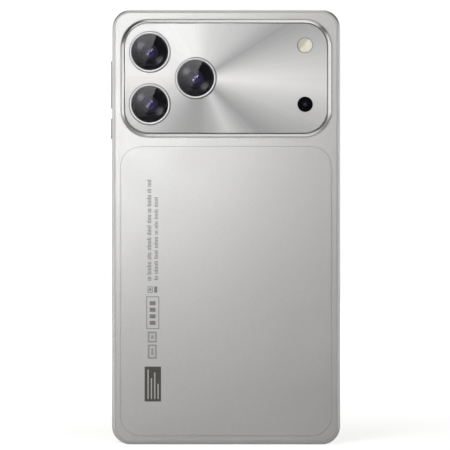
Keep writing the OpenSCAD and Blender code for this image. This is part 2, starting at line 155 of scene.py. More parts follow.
def outline(w, l, r, steps):
    """Points round a rounded rectangle, the same number whatever its size."""
    r = max(min(r, w / 2, l / 2), 0.01)
    points = []
    for sx, sy, start in ((1, 1, 0), (-1, 1, 90), (-1, -1, 180), (1, -1, 270)):
        points += arc(sx * (w / 2 - r), sy * (l / 2 - r), r, start, start + 90, steps)
    return points


def loft(name, size, r, profile, centre=(0, 0), place=at, closed=False, body=ROOT, steps=CORNER_STEPS):
    """Rounded rectangles stacked along a profile of [inset, height], capped or closed on itself."""
    w, l = size
    bm = bmesh.new()
    rings = []
    for inset, z in profile:
        points = outline(w - 2 * inset, l - 2 * inset, r - inset, steps)
        rings.append([bm.verts.new(place(centre[0] + x, centre[1] + y, z)) for x, y in points])
    bridge(bm, rings, closed)
    bmesh.ops.remove_doubles(bm, verts=bm.verts, dist=1e-7)
    return finish_mesh(name, bm, body)


def turned(name, centre, profile, closed=False, body=ROOT, steps=ROUND_STEPS):
    """A profile of [radius, height] turned about the axis through centre."""
    bm = bmesh.new()
    full_turn = [math.tau * i / steps for i in range(steps)]
    rings = []
    for r, z in profile:
        angles = full_turn if r > AXIS_R else [0]
        rings.append([bm.verts.new(at(centre[0] + r * math.cos(a), centre[1] + r * math.sin(a), z))
                      for a in angles])
    bridge(bm, rings, closed)
    return finish_mesh(name, bm, body)


def arc(cx, cy, r, start, end, steps):
    """Points on an arc from one angle to another, in degrees."""
    angles = [math.radians(a) for a in steps_between(start, end, steps)]
    return [(cx + r * math.cos(a), cy + r * math.sin(a)) for a in angles]


def ball_cap(radii, peak, ball):
    """Points [radius, height] on a ball whose highest point is at peak."""
    return [(x, peak - ball + math.sqrt(ball * ball - x * x)) for x in radii]


def slab_profile(lo, hi, fillet, steps):
    """A slab's side with a fillet on its top edge, and a ring that keeps the flat top flat."""
    return ([(TOP_SUPPORT, lo), (0, lo), (0, hi - fillet)]
            + arc(fillet, hi - fillet, fillet, 180, 90, steps)[1:] + [(fillet + TOP_SUPPORT, hi)])


def carve(obj, cutters):
    """Cuts each cutter out of obj and removes the cutters."""
    for cutter in cutters:
        cut = obj.modifiers.new("cut", "BOOLEAN")
        cut.object = cutter
        cut.solver = "EXACT"
        cut.operation = "DIFFERENCE"
    bpy.context.view_layer.update()
    done = bpy.data.meshes.new_from_object(obj.evaluated_get(bpy.context.evaluated_depsgraph_get()))
    obj.modifiers.clear()
    obj.data = done
    done.name = obj.name
    shade(done)
    for cutter in cutters:
        bpy.data.objects.remove(cutter)


def slot_cutter(size, centre, depth, place):
    """A round-ended cutter with a small chamfer at its mouth; height 0 is the surface."""
    profile = [(0, -depth), (0, -CUT_CHAMFER), (-CUT_CHAMFER, 0), (-CUT_CHAMFER, 1)]
    return loft("cutter", size, min(size) / 2, profile, centre, place, body=None, steps=10)


def round_cutter(centre, r, lo, hi, steps=ROUND_STEPS):
    return turned("cutter", centre, [(r, lo), (r, hi)], body=None, steps=steps)


# ---- Material tools ----

def links(nt, *pairs):
    for a, b in pairs:
        nt.links.new(a, b)


def new_material(name):
    mat = bpy.data.materials.new(name)
    mat.use_nodes = True
    nt = mat.node_tree
    return mat, nt, nt.nodes["Principled BSDF"]


def object_coords(nt):
    return nt.nodes.new("ShaderNodeTexCoord").outputs["Object"]


def vector_math(nt, operation, value, other=(0, 0, 0)):
    """A vector operation on a linked value and, where it takes two, a fixed one."""
    node = nt.nodes.new("ShaderNodeVectorMath")
    node.operation = operation
    node.inputs[1].default_value = other
    nt.links.new(value, node.inputs[0])
    return node


def noise(nt, scale, detail=3.0, stretch=(1, 1, 1)):
    """Noise over the object's own metres; stretch squeezes it along an axis."""
    mapping = nt.nodes.new("ShaderNodeMapping")
    mapping.inputs["Scale"].default_value = stretch
    tex = nt.nodes.new("ShaderNodeTexNoise")
    tex.inputs["Scale"].default_value = scale
    tex.inputs["Detail"].default_value = detail
    links(nt, (object_coords(nt), mapping.inputs["Vector"]),
          (mapping.outputs["Vector"], tex.inputs["Vector"]))
    return tex.outputs["Fac"]


def line_noise(nt, value, scale, lo, hi):
    """Fine stripes along one running value, as grey levels from lo to hi."""
    tex = nt.nodes.new("ShaderNodeTexNoise")
    tex.noise_dimensions = "1D"
    tex.inputs["Scale"].default_value = scale
    tex.inputs["Detail"].default_value = 4
    nt.links.new(value, tex.inputs["W"])
    return ramp(nt, tex.outputs["Fac"], (0.3, grey(lo)), (0.7, grey(hi)))


def ramp(nt, fac, *stops):
    """A colour ramp with its stops given as (position, colour)."""
    node = nt.nodes.new("ShaderNodeValToRGB")
    elements = node.color_ramp.elements
    while len(elements) < len(stops):
        elements.new(0.5)
    for element, (position, color) in zip(elements, stops):
        element.position = position
        element.color = (*color, 1)
    nt.links.new(fac, node.inputs["Fac"])
    return node.outputs["Color"]


def span(nt, value, lo, hi, start=0, end=1):
    """A value that runs from start to end, turned into one that runs from lo to hi."""
    node = nt.nodes.new("ShaderNodeMapRange")
    node.inputs["From Min"].default_value = start
    node.inputs["From Max"].default_value = end
    node.inputs["To Min"].default_value = lo
    node.inputs["To Max"].default_value = hi
    nt.links.new(value, node.inputs["Value"])
    return node.outputs["Result"]


def multiply(nt, a, b):
    node = nt.nodes.new("ShaderNodeMix")
    node.data_type = "RGBA"
    node.blend_type = "MULTIPLY"
    node.inputs["Factor"].default_value = 1.0
    links(nt, (a, node.inputs["A"]), (b, node.inputs["B"]))
    return node.outputs["Result"]


def bump(nt, height, strength, distance, shader):
    node = nt.nodes.new("ShaderNodeBump")
    node.inputs["Strength"].default_value = strength
    node.inputs["Distance"].default_value = distance
    links(nt, (height, node.inputs["Height"]), (node.outputs["Normal"], shader.inputs["Normal"]))


def grey(level):
    return level, level, level


def tint(color, k):
    return tuple(min(c * k, 1) for c in color)


# ---- Materials ----

SUNBURST_X = -10.4
HAIR_SCALE = 9000
STREAK_SCALE = 26
# The deck plate's light and dark fans, painted sheen in its colour beside its real anisotropic reflection:
# degrees round from the right, and shade.
PAINTED_SHEEN_FANS = ((-180, 0.53), (-140, 0.38), (-92, 0.31), (-76, 0.34), (-63, 0.46), (-42, 0.33), (-20, 0.53),
        (-4, 0.59), (12, 0.50), (32, 0.28), (52, 0.47), (68, 0.60), (90, 0.65), (112, 0.59),
        (140, 0.74), (164, 0.63), (180, 0.53))
# The flash's diagonal band: its yellow is the LED showing through, its light and dark across it painted facet
# shade.
FLASH_BAND_WAY = (0.80, 0, -0.60)
FLASH_BAND_REACH = 3 * MM


def surface(name, color, rough, metallic=0.0, grain=2500, vary=0.06, bump_mm=0.01, stretch=(1, 1, 1),
            coat=0.0, coat_rough=0.1, rough_vary=0.06, ior=1.45):
    """A fine-grained finish: colour, roughness and relief all vary a little at the grain's scale."""
    mat, nt, shader = new_material(name)
    fine = noise(nt, grain, 4, stretch)
    broad = noise(nt, grain / 40, 2, stretch)
    links(nt, (ramp(nt, fine, (0.25, tint(color, 1 - vary)), (0.75, tint(color, 1 + vary))),
               shader.inputs["Base Color"]),
          (span(nt, broad, rough - rough_vary, rough + rough_vary), shader.inputs["Roughness"]))
    shader.inputs["Metallic"].default_value = metallic
    shader.inputs["IOR"].default_value = ior
    shader.inputs["Coat Weight"].default_value = coat
    shader.inputs["Coat Roughness"].default_value = coat_rough
    if bump_mm:
        bump(nt, fine, 0.4, bump_mm * MM, shader)
    return mat


def sunburst_painted_sheen(name, centre):
    """Metal with hairlines that run round a centre, real anisotropic reflection, and light and dark fans
    round it painted into its colour as painted sheen.
    """
    mat, nt, shader = new_material(name)
    from_centre = vector_math(nt, "SUBTRACT", object_coords(nt), centre).outputs["Vector"]
    radius = vector_math(nt, "LENGTH", from_centre).outputs["Value"]
    split = nt.nodes.new("ShaderNodeSeparateXYZ")
    angle = nt.nodes.new("ShaderNodeMath")
    angle.operation = "ARCTAN2"
    links(nt, (from_centre, split.inputs["Vector"]), (split.outputs["Z"], angle.inputs[0]),
          (split.outputs["X"], angle.inputs[1]))
    turn = span(nt, angle.outputs["Value"], 0, 1, -math.pi, math.pi)
    # Painted sheen: the fans' light and dark shades stand in for reflections of the brushing.
    painted_sheen = ramp(nt, turn, *(((degrees + 180) / 360, grey(level)) for degrees, level in PAINTED_SHEEN_FANS))
    hairs = line_noise(nt, radius, HAIR_SCALE, 0.95, 1.0)
    streaks = line_noise(nt, angle.outputs["Value"], STREAK_SCALE, 0.96, 1.0)
    tangent = nt.nodes.new("ShaderNodeTangent")
    tangent.direction_type = "RADIAL"
    tangent.axis = "Y"
    links(nt, (multiply(nt, multiply(nt, painted_sheen, hairs), streaks), shader.inputs["Base Color"]),
          (tangent.outputs["Tangent"], shader.inputs["Tangent"]))
    shader.inputs["Metallic"].default_value = 1.0
    shader.inputs["Roughness"].default_value = 0.38
    shader.inputs["Anisotropic"].default_value = 0.9
    shader.inputs["Anisotropic Rotation"].default_value = 0.25
    return mat


def flash_face(name, centre):
    """A cream diffuser whose LED's yellow shows along a diagonal band; the band's extra brightness is a
    painted highlight and the duller upper left is painted shade.
    """
    mat, nt, shader = new_material(name)
    from_centre = vector_math(nt, "SUBTRACT", object_coords(nt), centre).outputs["Vector"]
    across = vector_math(nt, "DOT_PRODUCT", from_centre, FLASH_BAND_WAY).outputs["Value"]
    place = span(nt, across, 0, 1, -FLASH_BAND_REACH, FLASH_BAND_REACH)
    # Painted facet shade across the band: duller at the upper left, brightest in the yellow middle.
    band = ramp(nt, place, (0.10, (0.76, 0.75, 0.64)), (0.33, (0.78, 0.76, 0.62)),
                (0.50, (1.0, 0.96, 0.79)), (0.70, (0.95, 0.91, 0.78)), (1.0, (0.85, 0.82, 0.74)))
    grain = ramp(nt, noise(nt, 900), (0.3, grey(0.93)), (0.7, grey(1.0)))
    links(nt, (multiply(nt, band, grain), shader.inputs["Base Color"]),
          (span(nt, noise(nt, 200), 0.2, 0.3), shader.inputs["Roughness"]))
    shader.inputs["Coat Weight"].default_value = 0.5
    shader.inputs["Coat Roughness"].default_value = 0.1
    return mat


def mesh_screen(name, color):
    """Woven or etched screen: round holes in a fine grid, painted near-black as painted shade inside them."""
    mat, nt, shader = new_material(name)
    cells = nt.nodes.new("ShaderNodeTexVoronoi")
    cells.inputs["Scale"].default_value = 3200
    cells.inputs["Randomness"].default_value = 0
    # Painted shade: the holes are coloured near-black for the dark inside them.
    holes = ramp(nt, cells.outputs["Distance"], (0.3, grey(0.004)), (0.42, color))
    links(nt, (object_coords(nt), cells.inputs["Vector"]), (holes, shader.inputs["Base Color"]))
    shader.inputs["Metallic"].default_value = 0.9
    shader.inputs["Roughness"].default_value = 0.4
    bump(nt, cells.outputs["Distance"], 0.5, 0.05 * MM, shader)
    return mat


def clear_glass(name):
    """Clear glass that lets lamps through to what lies behind it."""
    mat, nt, shader = new_material(name)
    shader.inputs["Base Color"].default_value = (0.93, 0.93, 0.95, 1)
    shader.inputs["Transmission Weight"].default_value = 1.0
    shader.inputs["IOR"].default_value = 1.27
    nt.links.new(span(nt, noise(nt, 300), 0.0, 0.02), shader.inputs["Roughness"])
    open_way = nt.nodes.new("ShaderNodeBsdfTransparent")
    path = nt.nodes.new("ShaderNodeLightPath")
    mix = nt.nodes.new("ShaderNodeMixShader")
    links(nt, (path.outputs["Is Shadow Ray"], mix.inputs["Fac"]), (shader.outputs["BSDF"], mix.inputs[1]),
          (open_way.outputs["BSDF"], mix.inputs[2]),
          (mix.outputs["Shader"], nt.nodes["Material Output"].inputs["Surface"]))
    return mat


# What several finishes share.
SATIN = {"rough": 0.36, "metallic": 1.0, "vary": 0.03, "bump_mm": 0.003, "rough_vary": 0.02}
BLASTED = {"rough": 0.42, "metallic": 0.65, "vary": 0.04, "bump_mm": 0.006, "coat": 0.15, "coat_rough": 0.25}
POLISHED = {"metallic": 1.0, "vary": 0.02, "bump_mm": 0.0, "rough_vary": 0.01}
GLAZED = {"bump_mm": 0.0, "rough_vary": 0.02, "coat": 1.0, "coat_rough": 0.02}
GLASSY = {"bump_mm": 0.0, "rough_vary": 0.02}
INK = {"metallic": 0.3, "bump_mm": 0.004}
# Each finish's colour and roughness, and whatever else differs from surface()'s own values.
FINISHES = {
    "satin_silver": {"color": grey(0.70), **SATIN},
    # The keys' silver is the frame's, painted darker as painted shade.
    "shaded_key_silver": {"color": grey(0.30), **SATIN},
    "cover_silver": {"color": grey(0.63), **BLASTED},
    "panel_silver": {"color": grey(0.63), **BLASTED},
    "polished_bezel": {"color": grey(0.76), "rough": 0.17, **POLISHED},
    "ring_metal": {"color": grey(0.51), "rough": 0.38, **POLISHED},
    "front_glass": {"color": (0.006, 0.006, 0.007), "rough": 0.05, "vary": 0.2, **GLAZED},
    "screen_off": {"color": (0.010, 0.0105, 0.013), "rough": 0.06, "grain": 9000, "vary": 0.12, **GLAZED},
    "dark_window": {"color": (0.004, 0.004, 0.007), "rough": 0.06, "vary": 0.3, **GLASSY},
    "coated_lens": {"color": (0.011, 0.008, 0.038), "rough": 0.06, "vary": 0.15, "ior": 1.8, **GLASSY},
    "black_dome": {"color": (0.002, 0.002, 0.003), "rough": 0.18, "vary": 0.2, "ior": 1.35, **GLASSY},
    "barrel_violet": {"color": (0.022, 0.017, 0.040), "rough": 0.5, "vary": 0.15, "bump_mm": 0.0, "ior": 1.3},
    "baffle_black": {"color": (0.002, 0.002, 0.0025), "rough": 0.65, "vary": 0.2, "bump_mm": 0.0, "ior": 1.2},
    "print_grey": {"color": grey(0.24), "rough": 0.5, "vary": 0.12, **INK},
    "print_faint": {"color": (0.36, 0.36, 0.355), "rough": 0.5, "vary": 0.12, **INK},
    "print_dark": {"color": (0.10, 0.095, 0.088), "rough": 0.45, "vary": 0.2, **INK},
    "print_light": {"color": (0.55, 0.55, 0.54), "rough": 0.45, "vary": 0.06, **INK},
    "flash_rim": {"color": (0.20, 0.20, 0.18), "rough": 0.35, "vary": 0.1, "bump_mm": 0.0},
    "display_black": {"color": (0.012, 0.012, 0.014), "rough": 0.15, "vary": 0.1, "bump_mm": 0.0},
    "light_guide": {"color": grey(0.85), "rough": 0.35, "vary": 0.03},
    "stamped_steel": {"color": (0.50, 0.51, 0.53), "rough": 0.38, "metallic": 1.0, "vary": 0.08,
                      "stretch": (1, 1, 12)},
    "camera_black": {"color": (0.015, 0.015, 0.018), "rough": 0.45, "vary": 0.2},
    "sensor_die": {"color": (0.06, 0.07, 0.20), "rough": 0.12, "metallic": 0.4, "grain": 6000, "vary": 0.2},
    "led_phosphor": {"color": (0.80, 0.70, 0.18), "rough": 0.5, "vary": 0.1, "bump_mm": 0.03},
    "board_green": {"color": (0.02, 0.11, 0.06), "rough": 0.35, "grain": 1200, "vary": 0.3, "bump_mm": 0.03,
                    "coat": 0.5},
    "chip_black": {"color": (0.03, 0.03, 0.033), "rough": 0.55, "vary": 0.2, "bump_mm": 0.02},
    "flex_amber": {"color": (0.42, 0.20, 0.05), "rough": 0.35, "grain": 900, "vary": 0.2, "coat": 0.5},
    "dome_metal": {"color": (0.70, 0.64, 0.48), "rough": 0.28, "metallic": 1.0, "vary": 0.04},
    "cell_grey": {"color": (0.20, 0.21, 0.23), "rough": 0.4, "metallic": 0.5, "grain": 700, "vary": 0.15,
                  "bump_mm": 0.05},
    "contact_black": {"color": (0.02, 0.02, 0.022), "rough": 0.35, "vary": 0.2},
    "plated_steel": {"color": (0.62, 0.62, 0.63), "rough": 0.3, "metallic": 1.0, "vary": 0.05,
                     "stretch": (1, 6, 1)},
    "weight_metal": {"color": (0.30, 0.31, 0.33), "rough": 0.5, "metallic": 0.9, "vary": 0.15,
                     "bump_mm": 0.03},
}
MATERIALS = {name: surface(name, **finish) for name, finish in FINISHES.items()}
MATERIALS["lens_glass"] = clear_glass("lens_glass")
MATERIALS["fine_mesh"] = mesh_screen("fine_mesh", (0.30, 0.30, 0.31))
MATERIALS["flash_diffuser"] = flash_face("flash_diffuser", at(*middle("flash_lens")))
# The deck's colour carries painted sheen fans as well as its brushing.
MATERIALS["brushed_deck"] = sunburst_painted_sheen("brushed_deck", at(SUNBURST_X, middle("camera_bezel").y, 0))


def wear(obj, slot, *replaced, look=None):
    """Gives a piece a look, its slot's own unless one is named, and hides the CAD nodes it replaces."""
    obj.data.materials.clear()
    obj.data.materials.append(MATERIALS[look or slot])
    if replaced:
        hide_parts(*replaced)


def dress_nodes():
    """Every CAD node wears its slot's look, but for the two meshes, which wear a grid."""
    looks = {"loudspeaker_mesh": "fine_mesh", "earpiece_mesh": "fine_mesh"}
    for row in frame["record"]["subparts"]:
        node = frame["nodes"][row["node"]]
        node.data.materials.clear()
        node.data.materials.append(MATERIALS[looks.get(row["node"], row["material_slot"])])


# ---- Casing ----

CORNER_R = 7.8
SIDE_FILLET = 1.0
# The frame's width beside the cover and the glass, its full thickness, and the chamfer inside its edges.
LIP = 1.25
WALL = 2.3
LAND = 0.03
CUT_DEPTH = WALL + 0.5
# Openings in the frame: how much wider each is than what it lets through, or its diameter.
KEY_GAP = 0.24
TRAY_GAP = 0.16
PORT_GAP = 0.24
JACK_HOLE_D = 4.4
MIC_HOLE_D = 1.0
SPEAKER_HOLE_D = 1.4
SPEAKER_HOLE_PITCH = 3.0
SPEAKER_ROW_SHIFT = 0.6
SPEAKER_ROW = range(-2, 3)
# The back cover and its inset panel.
PANEL_R = 8.6
PANEL_GAP = 0.07
PANEL_SETBACK = 0.005
POCKET_MARGIN = 0.4
POCKET_CHAMFER = 0.05
LENS_OPENING_R = 5.2
WINDOW_OPENING_R = 2.9
# The front.
GLASS_FILLET = 0.45
EARPIECE_SLIT = (13.2, 1.2)
PICTURE_MARGIN = (2.7, 6.9)
PICTURE_R = 3.4


def make_side_frame():
    hi = flat_box("side_frame")[1]
    obj = loft("side_frame_shell", (2 * hi.x, 2 * hi.y), CORNER_R, frame_section(hi.z), closed=True)
    carve(obj, side_openings(hi.x) + end_openings(hi.y))
    wear(obj, "satin_silver", "side_frame")


def frame_section(edge):
    """A rounded band with one seat for the back cover and one for the front glass."""
    glass_seat = flat_box("cover_glass")[1].z
    cover_seat = flat_box("back_cover")[0].z
    front = arc(SIDE_FILLET, -edge + SIDE_FILLET, SIDE_FILLET, 270, 180, 8)
    back = arc(SIDE_FILLET, edge - SIDE_FILLET, SIDE_FILLET, 180, 90, 8)
    seats = [(LIP - LAND, edge), (LIP, edge - LAND), (LIP, cover_seat), (WALL, cover_seat),
             (WALL, glass_seat), (LIP, glass_seat), (LIP, -edge + LAND), (LIP - LAND, -edge)]
    return front + back + seats


def side_openings(half_w):
    """Cutters for the two keys on one long side and the card tray on the other."""
    cutters = []
    for key in ("volume_key", "power_key"):
        a, b = key_extent(key)
        size = (b - a + KEY_GAP, KEY_W + KEY_GAP)
        cutters.append(slot_cutter(size, ((a + b) / 2, 0), CUT_DEPTH, side_place(-half_w, -1)))
    lo, hi = flat_box("sim_tray")
    size = (hi.y - lo.y + TRAY_GAP, TRAY_H + TRAY_GAP)
    centre = ((lo.y + hi.y) / 2, (lo.z + hi.z) / 2)
    cutters.append(slot_cutter(size, centre, CUT_DEPTH, side_place(half_w, 1)))
    return cutters


def end_openings(half_l):
    """Cutters for the port, the loudspeaker and the microphone at the bottom, and the socket at the top."""
    bottom = end_place(-half_l, -1)
    lo, hi = flat_box("usb_shell")
    size = (hi.x - lo.x + PORT_GAP, hi.z - lo.z + PORT_GAP)
    cutters = [slot_cutter(size, (0, (lo.z + hi.z) / 2), CUT_DEPTH, bottom)]
    speaker = middle("loudspeaker_mesh")
    for i in SPEAKER_ROW:
        centre = (speaker.x + SPEAKER_ROW_SHIFT + SPEAKER_HOLE_PITCH * i, speaker.z)
        cutters.append(slot_cutter((SPEAKER_HOLE_D, SPEAKER_HOLE_D), centre, CUT_DEPTH, bottom))
    centre = (middle("microphone").x, speaker.z)
    cutters.append(slot_cutter((MIC_HOLE_D, MIC_HOLE_D), centre, CUT_DEPTH, bottom))
    jack = middle("headphone_jack")
    cutters.append(slot_cutter((JACK_HOLE_D, JACK_HOLE_D), (jack.x, jack.z), CUT_DEPTH, end_place(half_l, 1)))
    return cutters


def make_back_cover():
    lo, hi = flat_box("back_cover")
    cover = loft("back_cover_shell", (hi.x - lo.x, hi.y - lo.y), CORNER_R - LIP,
                 slab_profile(lo.z, hi.z, 0.09, steps=5))
    cutters = [panel_pocket(hi.z)]
    for lens in LENSES:
        cutters.append(round_cutter(spot("lens_ring_" + lens), LENS_OPENING_R, lo.z - 1, hi.z + 1, steps=48))
    for node in ("flash_lens", "depth_window"):
        cutters.append(round_cutter(spot(node), WINDOW_OPENING_R, lo.z - 1, hi.z + 1, steps=48))
    carve(cover, cutters)
    wear(cover, "cover_silver", "back_cover")


def panel_pocket(face):
    """A cutter for the shallow pocket that holds the rear panel, with a chamfered mouth."""
    lo, hi = flat_box("rear_panel")
    size = (hi.x - lo.x + POCKET_MARGIN, hi.y - lo.y + POCKET_MARGIN)
    profile = [(0, lo.z), (0, face - POCKET_CHAMFER), (-POCKET_CHAMFER, face), (-POCKET_CHAMFER, face + 1)]
    return loft("cutter", size, PANEL_R, profile, spot("rear_panel"), body=None)


def make_rear_panel():
    lo, hi = flat_box("rear_panel")
    margin = POCKET_MARGIN - 2 * PANEL_GAP
    panel = loft("rear_panel_sheet", (hi.x - lo.x + margin, hi.y - lo.y + margin), PANEL_R,
                 slab_profile(lo.z, hi.z - PANEL_SETBACK, 0.08, steps=3), spot("rear_panel"))
    wear(panel, "panel_silver", "rear_panel")


def make_front():
    lo, hi = flat_box("cover_glass")
    profile = [(inset, -z) for inset, z in slab_profile(-hi.z, -lo.z, GLASS_FILLET, steps=6)]
    glass = loft("front_glass_sheet", (hi.x - lo.x, hi.y - lo.y), CORNER_R - LIP, profile)
    carve(glass, [slot_cutter(EARPIECE_SLIT, spot("earpiece_mesh"), 3, front_place(lo.z))])
    wear(glass, "front_glass", "cover_glass")
    make_picture_area(lo.z)
    make_front_camera_window(lo.z)


def make_picture_area(face):
    """The part of the glass that lights up, a shade paler than the black border printed round it."""
    lo, hi = flat_box("display_panel")
    size = (hi.x - lo.x - PICTURE_MARGIN[0], hi.y - lo.y - PICTURE_MARGIN[1])
    profile = [(0, face + 0.02), (0, face - 0.002), (0.02, face - 0.006)]
    wear(loft("picture_area", size, PICTURE_R, profile), "display_black", look="screen_off")


def make_front_camera_window(face):
    """A thin black rim and, inside it, a lens with one step; both stand just out of the glass."""
    centre = spot("front_camera")
    outer_r, inner_r, back = 2.45, 2.1, face + 0.02
    rim = [(outer_r, back), (outer_r, face - 0.012), (inner_r, face - 0.012), (inner_r, back)]
    wear(turned("front_camera_rim", centre, rim, closed=True), "camera_black", look="baffle_black")
    lens = [(inner_r, back), (inner_r, face - 0.006), (1.5, face - 0.010), (1.35, face - 0.004),
            (0.9, face - 0.008), (0, face - 0.014)]
    wear(turned("front_camera_lens", centre, lens), "lens_glass", look="coated_lens")


# ---- Camera deck ----

LENSES = ("upper", "middle", "lower")
DECK_R = 11.8
BEZEL_W = 1.9
# The bezel's section, as insets and drops: a steep outer edge, a face that leans outwards by about 10
# degrees and a rounded inner edge.
BEZEL_SHAPE = ((0, 1.2), (0.06, 0.82), (0.18, 0.52), (0.32, 0.32), (0.46, 0.17), (1.38, 0),
               (1.52, 0.10), (1.68, 0.27), (1.82, 0.55))
# Holes and seats in the deck plate.
RING_HOLE_R = 8.2
RING_SEAT_R = 8.96
RING_SEAT_DEPTH = 0.45
WINDOW_HOLE_R = 2.65
WINDOW_SEAT_R = 3.3
WINDOW_SEAT_DEPTH = 0.5
# A lens ring: the rounding of its outer and inner edge, as insets and drops.
RING_W = 1.0
RING_FOOT = 0.55
RING_OUTER_EDGE = ((0, 0.48), (0.05, 0.30), (0.15, 0.13), (0.28, 0.03), (0.38, 0))
RING_INNER_EDGE = ((0.20, 0), (0.08, 0.05), (0, 0.2))
# The cover glass, and the mask and the domed ring under it.
COVER_DROP = 0.35
COVER_DOME = 0.28
COVER_T = 0.5
COVER_GAP = 0.03
WELL_FLOOR = 4.75
MASK_DROP = COVER_DROP + 0.62
DOME_OUTER_R = 7.35
DOME_INNER_R = 3.5
DOME_RISE = 0.22
DOME_BALL = 16
FIT_GAP = 0.02
# The focus barrel's stepped front, as radii and drops, and the element that sits in it.
BARREL_STEPS = ((3.35, 0), (3.1, 0), (3.0, 0.12), (2.6, 0.2), (2.5, 0.42), (2.05, 0.5), (2.0, 0.9), (0, 0.9))
ELEMENT_R = 1.98
ELEMENT_DROP = 0.27
ELEMENT_SEAT = 0.88
ELEMENT_BALL = 6.5
# The flash: its thin rim, and the rings pressed into its face.
FLASH_RIM = ((3.05, 0.4), (3.22, 0.4), (3.22, 0.04), (3.18, 0), (3.05, 0.02))
FLASH_STEM_R = 2.5
FLASH_R = 3.03
FLASH_RINGS = 7
FLASH_RING_PITCH = 0.4
FLASH_RING_W = 0.36
# The small window's dished face and the faint lens in its middle.
WINDOW_FACE = ((3.2, 0.06), (3.12, 0), (1.6, 0), (1.5, 0.1), (0, 0.1))
WINDOW_EYE = ((0.8, 0.12), (0.8, 0.09), (0.55, 0.05), (0.3, 0.02), (0, 0.01))
# Pieces that some lamps light alone, or leave out.
BEZEL = ["camera_bezel_ring"]
SHELL = ["side_frame_shell", "card_tray_head", "volume_key_cap", "power_key_cap"]
COVERS = ["depth_window_cap"] + [f"lens_{lens}_cover" for lens in LENSES]
MASKS = [f"lens_{lens}_baffle" for lens in LENSES]
DOMES = [f"lens_{lens}_dome" for lens in LENSES]
ELEMENTS = [f"lens_{lens}_element" for lens in LENSES]


def below(top, points):
    """Points whose second value is a drop, turned into heights."""
    return [(x, top - drop) for x, drop in points]


def make_bezel():
    lo, hi = flat_box("camera_bezel")
    profile = [(0, lo.z)] + below(hi.z, BEZEL_SHAPE) + [(BEZEL_W, lo.z)]
    bezel = loft("camera_bezel_ring", (hi.x - lo.x, hi.y - lo.y), DECK_R, profile, spot("camera_bezel"),
                 closed=True)
    wear(bezel, "polished_bezel", "camera_bezel")


def make_deck_plate():
    lo, hi = flat_box("deck_plate")
    plate = loft("deck_plate_sheet", (hi.x - lo.x, hi.y - lo.y), DECK_R - BEZEL_W,
                 slab_profile(lo.z, hi.z, 0.05, steps=2), spot("camera_bezel"))
    cutters = []
    for lens in LENSES:
        centre = spot("lens_ring_" + lens)
        cutters.append(round_cutter(centre, RING_HOLE_R, lo.z - 1, hi.z + 1))
        cutters.append(round_cutter(centre, RING_SEAT_R, hi.z - RING_SEAT_DEPTH, hi.z + 1))
    for node in ("flash_lens", "depth_window"):
        cutters.append(round_cutter(spot(node), WINDOW_SEAT_R, hi.z - WINDOW_SEAT_DEPTH, hi.z + 1))
        cutters.append(round_cutter(spot(node), WINDOW_HOLE_R, lo.z - 1, hi.z))
    carve(plate, cutters)
    # The plate wears the deck look, with its painted sheen fans.
    wear(plate, "brushed_deck", "deck_plate")
    # The brushing runs round the middle of the texture space.
    plate.data.use_auto_texspace = False
    plate.data.texspace_location = at(SUNBURST_X, spot("camera_bezel")[1], hi.z)
    plate.data.texspace_size = (0.05, 0.05, 0.05)


def make_lens(lens):
    """A bright ring, a shallow domed glass, a masked well, and a barrel with a coated front element."""
    lo, hi = flat_box("lens_ring_" + lens)
    outer_r = (hi.x - lo.x) / 2
    bore = outer_r - RING_W
    make_ring(lens, outer_r, bore)
    make_lens_cover(lens, hi.z - COVER_DROP, bore)
    make_well(lens, hi.z - MASK_DROP, bore - 0.05)
    make_barrel(lens)


def make_ring(lens, outer_r, bore):
    node = "lens_ring_" + lens
    lo, hi = flat_box(node)
    seat = flat_box("deck_plate")[1].z - RING_SEAT_DEPTH + FIT_GAP
    foot = outer_r - RING_FOOT
    outer = below(hi.z, [(outer_r - inset, drop) for inset, drop in RING_OUTER_EDGE])
    inner = below(hi.z, [(bore + inset, drop) for inset, drop in RING_INNER_EDGE])
    profile = [(foot, seat), (outer_r, seat)] + outer + inner + [(bore, lo.z), (foot, lo.z)]
    wear(turned(f"lens_{lens}_ring", spot(node), profile, closed=True), "ring_metal", node)


def make_lens_cover(lens, rim, bore):
    """A domed glass, as thick everywhere, that rises by COVER_DOME from the ring's bore to its middle."""
    ball = (bore * bore + COVER_DOME * COVER_DOME) / (2 * COVER_DOME)
    crown = ball_cap(steps_between(0, bore - COVER_GAP, 16), rim + COVER_DOME, ball)
    profile = [(x, z - COVER_T) for x, z in crown] + crown[::-1]
    wear(turned(f"lens_{lens}_cover", spot("lens_ring_" + lens), profile), "lens_glass", "lens_glass_" + lens)


def make_well(lens, mask, outer_r):
    """Under the glass, a flat mask and, inside it, a domed glass ring round the barrel."""
    centre = spot("lens_ring_" + lens)
    hole = DOME_OUTER_R + 0.1
    well = [(outer_r, WELL_FLOOR), (outer_r, mask), (hole, mask), (DOME_OUTER_R, mask - 0.1),
            (DOME_OUTER_R, WELL_FLOOR)]
    wear(turned(f"lens_{lens}_baffle", centre, well, closed=True), "camera_black", look="baffle_black")
    edge = DOME_OUTER_R - FIT_GAP
    slope = [(x, mask + DOME_RISE - x * x / (2 * DOME_BALL))
             for x in steps_between(edge, DOME_INNER_R - FIT_GAP, 12)]
    dome = [(edge, WELL_FLOOR)] + slope + [(DOME_INNER_R, WELL_FLOOR)]
    wear(turned(f"lens_{lens}_dome", centre, dome, closed=True), "lens_glass", look="black_dome")


